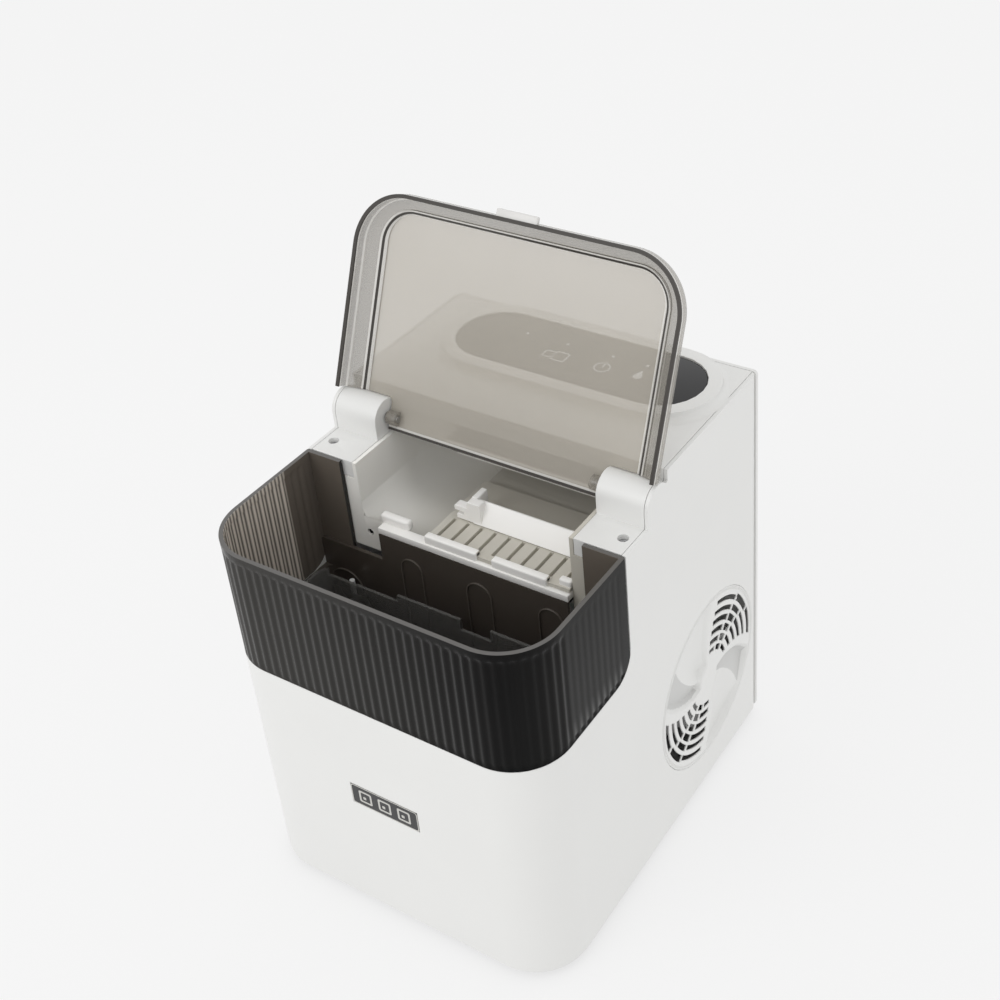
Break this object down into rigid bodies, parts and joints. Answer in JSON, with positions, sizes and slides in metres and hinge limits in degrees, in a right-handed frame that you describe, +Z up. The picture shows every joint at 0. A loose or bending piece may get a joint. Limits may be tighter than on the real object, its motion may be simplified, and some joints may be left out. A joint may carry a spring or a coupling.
{
  "type": "countertop ice maker",
  "caption": "Countertop ice maker with an open see-through lid, fluted smoky bin window, touch panel on a raised island and a round side fan grille.",
  "frame": {"origin": "centre of the footprint, on the surface that the feet stand on", "axes": "+X towards the side with the fan grille, +Y towards the rear cover, +Z up"},
  "size_m": [0.23, 0.27, 0.4134],
  "materials": {
    "white_plastic": "warm white, satin gloss",
    "grey_plastic": "pale grey, matt",
    "smoky_window": "dark smoky see-through plastic, fluted",
    "dark_tub": "dark brown glossy plastic",
    "smoky_lid": "light smoky see-through plastic, polished",
    "brown_clear": "brown see-through plastic",
    "pale_basket": "pale grey, slightly cloudy",
    "black_gloss": "black, glossy",
    "rubber": "black rubber, matt",
    "silicone_hose": "milky silicone",
    "steel": "zinc-plated steel",
    "nickel_plate": "nickel-plated, satin",
    "black_paint": "black enamel",
    "aluminium_fins": "bare aluminium",
    "copper": "bright copper",
    "circuit_board": "green circuit board"
  },
  "bodies": {
    "case": {"base_pan": "grey_plastic", "foot_front_left": "rubber", "foot_front_right": "rubber", "foot_rear_left": "rubber", "foot_rear_right": "rubber", "outer_shell": "white_plastic", "rear_cover": "white_plastic", "rear_screw_lower_left": "steel", "rear_screw_lower_right": "steel", "rear_screw_upper_left": "steel", "rear_screw_upper_right": "steel", "top_deck": "white_plastic", "deck_screw_left": "steel", "deck_screw_right": "steel", "control_lens": "black_gloss", "display_board": "circuit_board", "bin_window": "smoky_window", "reservoir_tub": "dark_tub", "chamber_liner": "white_plastic", "ice_grid": "white_plastic", "tray_motor": "steel", "evaporator": "nickel_plate", "compressor": "black_paint", "compressor_mount_1": "rubber", "compressor_mount_2": "rubber", "compressor_mount_3": "rubber", "start_relay": "black_gloss", "condenser": "aluminium_fins", "discharge_tube": "copper", "suction_tube": "copper", "liquid_tube": "copper", "filter_drier": "copper", "hot_gas_valve": "steel", "fan_bracket": "grey_plastic", "fan_motor": "black_paint", "fan_grille": "white_plastic", "front_badge": "black_gloss", "pump_body": "black_gloss", "pump_cover": "grey_plastic", "supply_hose": "silicone_hose", "drain_tube": "silicone_hose", "drain_port": "grey_plastic", "cord_gland": "black_gloss", "float_guide": "white_plastic", "ice_sensor_left": "black_gloss", "ice_sensor_right": "black_gloss", "control_board": "circuit_board", "hinge_pin_left": "steel", "hinge_pin_right": "steel"},
    "lid": {"lid_shell": "smoky_lid"},
    "basket": {"ice_basket": "pale_basket"},
    "tray": {"water_tray": "brown_clear"},
    "shovel": {"ice_shovel": "white_plastic"},
    "fan": {"fan_blade": "grey_plastic", "fan_shaft": "steel"},
    "pump_wheel": {"pump_impeller": "white_plastic"},
    "float": {"level_float": "white_plastic"},
    "plug": {"drain_plug": "rubber"}
  },
  "joints": [
    {"name": "lid_hinge", "type": "hinge", "parent": "case", "child": "lid", "pos_m": [0, 0.006, 0.2755], "axis": [-1, 0, 0], "range_deg": [-113.3, 0]},
    {"name": "basket_lift", "type": "slide", "parent": "case", "child": "basket", "axis": [0, 0, 1], "range_m": [0, 0.18]},
    {"name": "tray_tilt", "type": "hinge", "parent": "case", "child": "tray", "pos_m": [0, 0.036, 0.262], "axis": [1, 0, 0], "range_deg": [0, 70]},
    {"name": "shovel_slide", "type": "slide", "parent": "case", "child": "shovel", "axis": [0, 1, 0], "range_m": [0, 0.042]},
    {"name": "fan_spin", "type": "hinge", "parent": "case", "child": "fan", "pos_m": [0.0993, 0.0628, 0.0924], "axis": [1, 0, 0], "continuous": true},
    {"name": "pump_spin", "type": "hinge", "parent": "case", "child": "pump_wheel", "pos_m": [-0.06, -0.085, 0.08], "axis": [0, 0, 1], "continuous": true},
    {"name": "float_rise", "type": "slide", "parent": "case", "child": "float", "axis": [0, 0, 1], "range_m": [-0.012, 0.03]},
    {"name": "plug_pull", "type": "slide", "parent": "case", "child": "plug", "axis": [0, 1, 0], "range_m": [0, 0.03]}
  ],
  "couplings": [
    {"joint": "shovel_slide", "follows": "tray_tilt", "m_per_rad": 0.034}
  ]
}
